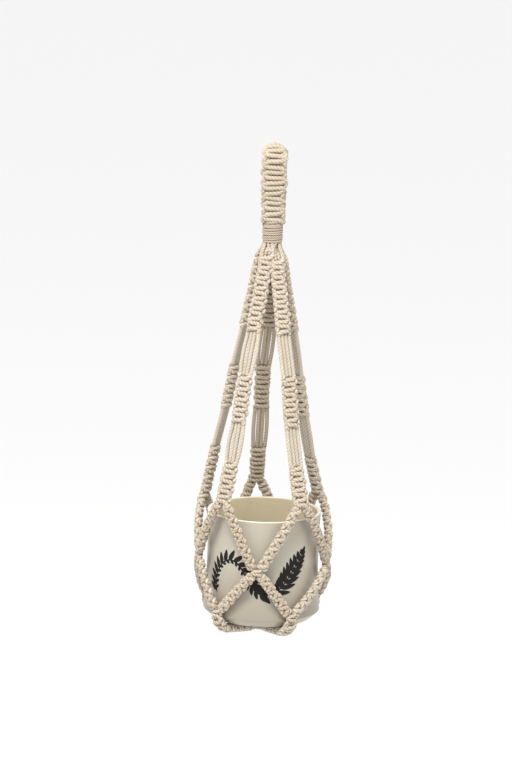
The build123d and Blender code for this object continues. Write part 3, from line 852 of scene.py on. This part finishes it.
# Painted shade: the glaze is darkened towards the bottom of the pot, between 430 mm and 500 mm below the
# origin.
apart = nodes.new("ShaderNodeSeparateXYZ")
links.new(stretched(nodes, links, where, (1.0, 1.0, -1.0)), apart.inputs["Vector"])
painted_low_shade = ramp(nodes, links, apart.outputs["Z"], ((0.43, (1.0, 1.0, 1.0)), (0.50, (0.74, 0.72, 0.69))))
links.new(mixed(nodes, links, "MULTIPLY", 1.0, body_tone, painted_low_shade), shader.inputs["Base Color"])
shader.inputs["Roughness"].default_value = 0.38
shader.inputs["Specular IOR Level"].default_value = 0.4
shader.inputs["Coat Weight"].default_value = 0.25
shader.inputs["Coat Roughness"].default_value = 0.22
ripple = nodes.new("ShaderNodeBump")
ripple.inputs["Strength"].default_value = 0.12
ripple.inputs["Distance"].default_value = 0.0006
turning = noise(nodes, links, stretched(nodes, links, where, (25.0, 25.0, 120.0)), 1.0, 3.0, 0.5)
links.new(turning, ripple.inputs["Height"])
links.new(ripple.outputs["Normal"], shader.inputs["Normal"])

side = [(float(np.polyval(side_fit, z)), z) for z in np.linspace(POT_SHOULDER, POT_TOP, 26)]
inner_r, floor_z = RIM_R - POT_WALL, POT_FOOT + POT_FLOOR
outline = [(0, POT_FOOT), (FOOT_R, POT_FOOT), *side, (inner_r, POT_TOP), (inner_r - POT_TAPER, floor_z),
           (0, floor_z)]
corners = [UNDER_CORNER, SHOULDER_CORNER, *[0] * (len(side) - 2), LIP_CORNER, INNER_LIP_CORNER, FLOOR_CORNER]
pot = lathe("pot_body", rounded(outline, corners), 180, glaze)
finished(pot, "pot", "pot_glaze", "pot")

# ---- print on the pot: a curling frond in black ---------------------------
ink, nodes, links, shader = new_material("pot_print")
where = nodes.new("ShaderNodeTexCoord").outputs["Object"]
mottle = noise(nodes, links, where, 260.0, 4.0, 0.6)
ink_tone = ramp(nodes, links, mottle, ((0.3, (0.005, 0.004, 0.004)), (0.7, (0.011, 0.009, 0.009))))
links.new(ink_tone, shader.inputs["Base Color"])
shader.inputs["Roughness"].default_value = 0.6
shader.inputs["Specular IOR Level"].default_value = 0.2

PRINT_R = 62.0           # mm, radius that the flat drawing is bent round
PRINT_LIFT, PRINT_SINK = 0.16, 0.25      # mm out of and into the pot's side
# The stem's bends, as degrees round from the front and height in mm.
stem = [(-52, -476), (-56, -458), (-47, -440), (-34, -433.5), (-23, -440), (-16, -456),
        (-8, -470), (4, -475.5), (16, -470), (27, -456), (36, -441), (45, -427)]
stem = np.array([(math.radians(a) * PRINT_R, z) for a, z in stem])
STEM_POINTS, STEM_EASING = 400, 900
fine = np.linspace(0, len(stem) - 1, STEM_POINTS)
stem = np.stack([np.interp(fine, np.arange(len(stem)), stem[:, k]) for k in (0, 1)], axis=1)
stem = smooth(stem, STEM_EASING)


def flat_patch(rows):
    """Thin closed patch on the pot's side from rows of flat (round, z) points."""
    rows = np.array(rows)
    count, wide = rows.shape[:2]
    points = []
    for lift in (PRINT_LIFT, -PRINT_SINK):
        radius = np.polyval(side_fit, rows[..., 1]) + lift
        angle = rows[..., 0] / PRINT_R - math.pi / 2
        ring = np.stack([radius * np.cos(angle), radius * np.sin(angle), rows[..., 1]], axis=-1)
        points.append(ring.reshape(-1, 3))
    i = np.arange(count - 1)[:, None] * wide
    j = np.arange(wide - 1)[None, :]
    top = np.stack([i + j, i + j + 1, i + j + 1 + wide, i + j + wide], axis=-1).reshape(-1, 4)
    under = top[:, ::-1] + count * wide
    edge = np.array([*range(wide), *(r * wide + wide - 1 for r in range(1, count)),
                     *range(count * wide - 2, (count - 1) * wide - 1, -1),
                     *(r * wide for r in range(count - 2, 0, -1))])
    onward = np.roll(edge, -1)
    walls = np.stack([onward, edge, edge + count * wide, onward + count * wide], axis=-1)
    return np.concatenate(points), np.concatenate([top, under, walls])


def leaflet(root, way, long, wide):
    """Lens of rows from its root, pointing along way."""
    sideways = np.array([-way[1], way[0]])
    rows = []
    for share in np.linspace(0, 1, 10):
        half = wide / 2 * (0.10 + math.sin(math.pi * share**0.8) ** 0.75 * 0.9) * (1 - 0.1 * share)
        if share == 1:
            half *= 0.1
        half = max(half, 0.08)
        bend = sideways * 0.10 * long * share**2
        rows.append([root + way * long * share + bend + sideways * half * k for k in (-1, -0.33, 0.33, 1)])
    return rows


def stem_place(at):
    """Where the stem is at a distance along it, and its heading."""
    place = np.array([np.interp(at, gone, stem[:, k]) for k in (0, 1)])
    return place, unit(np.array([np.interp(at, gone, heading[:, k]) for k in (0, 1)]))


def turned_way(ahead, degrees):
    lean = math.radians(degrees)
    return np.array([ahead[0] * math.cos(lean) - ahead[1] * math.sin(lean),
                     ahead[0] * math.sin(lean) + ahead[1] * math.cos(lean)])


patches = []
gone = np.concatenate([[0], np.cumsum(np.linalg.norm(np.diff(stem, axis=0), axis=1))])
heading = unit(np.gradient(stem, axis=0))
rib = np.stack([-heading[:, 1], heading[:, 0]], axis=1)
half = 0.6 + 0.35 * np.sin(np.pi * gone / gone[-1])
patches.append(flat_patch(np.stack([stem - rib * half[:, None], stem + rib * half[:, None]], axis=1)))
# The leaflets: the frond's, long outside its curl and short inside it, then the end leaf's pairs.
CURL_END, LEAF_START = gone[-1] * 0.40, gone[-1] * 0.60
LEAFLET_PITCH, PAIR_PITCH = 6.4, 7.4      # mm
for at in np.arange(2.0, LEAF_START - 4, LEAFLET_PITCH):
    place, ahead = stem_place(at)
    patches.append(flat_patch(leaflet(place, turned_way(ahead, 42), 14.0, 5.8)))
    lean, long, wide = (-60, 5.0, 3.4) if at < CURL_END else (-42, 9.5, 4.4)
    place, ahead = stem_place(at + LEAFLET_PITCH / 2)
    patches.append(flat_patch(leaflet(place, turned_way(ahead, lean), long, wide)))
for at in np.arange(LEAF_START, gone[-1] - 1, PAIR_PITCH):
    place, ahead = stem_place(at)
    share = (at - LEAF_START) / (gone[-1] - LEAF_START)
    long = 5.0 + 14.0 * math.sin(math.pi * min(1.0, 0.16 + 0.86 * share)) ** 0.8
    for hand in (-1, 1):
        patches.append(flat_patch(leaflet(place, turned_way(ahead, 40 * hand), long, 5.9)))
place, ahead = stem_place(gone[-1] - 2)
patches.append(flat_patch(leaflet(place, ahead, 9.0, 5.0)))
starts = np.cumsum([0] + [len(points) for points, _ in patches[:-1]])
all_points = np.concatenate([points for points, _ in patches])
all_quads = np.concatenate([quads + start for (_, quads), start in zip(patches, starts)])
frond = mesh_object("pot_print", all_points, all_quads, np.zeros((0, 3), int))
frond.data.polygons.foreach_set("use_smooth", np.zeros(len(frond.data.polygons), bool))
frond.data.materials.append(ink)
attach(frond, "pot")
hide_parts("pot")

# ---- floor and light ----------------------------------------------------
floor_material, nodes, links, shader = new_material("floor")
shader.inputs["Base Color"].default_value = (0.95, 0.95, 0.95, 1.0)
shader.inputs["Roughness"].default_value = 0.9
bpy.ops.mesh.primitive_plane_add(size=60.0, location=(0, 0, -1.4))
floor = bpy.context.object
floor.name = "floor"
floor.data.materials.append(floor_material)

world = bpy.data.worlds.new("world")
world.use_nodes = True
bpy.context.scene.world = world
world.node_tree.nodes["Background"].inputs["Color"].default_value = (1.0, 1.0, 1.0, 1.0)
world.node_tree.nodes["Background"].inputs["Strength"].default_value = 0.96


def area_light(name, place, aim, size, power, colour):
    light = bpy.data.lights.new(name, "AREA")
    light.shape = "SQUARE"
    light.size = size
    light.energy = power
    light.color = colour
    holder = bpy.data.objects.new(name, light)
    bpy.context.scene.collection.objects.link(holder)
    holder.location = place
    holder.rotation_euler = (Vector(aim) - Vector(place)).to_track_quat("-Z", "Y").to_euler()


LIGHT_AIM = (0, 0, -0.25)
area_light("key", (-0.5, -1.6, 1.9), LIGHT_AIM, size=0.9, power=85, colour=(1.0, 0.985, 0.96))
area_light("fill", (2.0, -1.6, 0.4), LIGHT_AIM, size=1.6, power=6, colour=(1.0, 0.99, 0.98))

bpy.context.scene.view_settings.view_transform = "Standard"
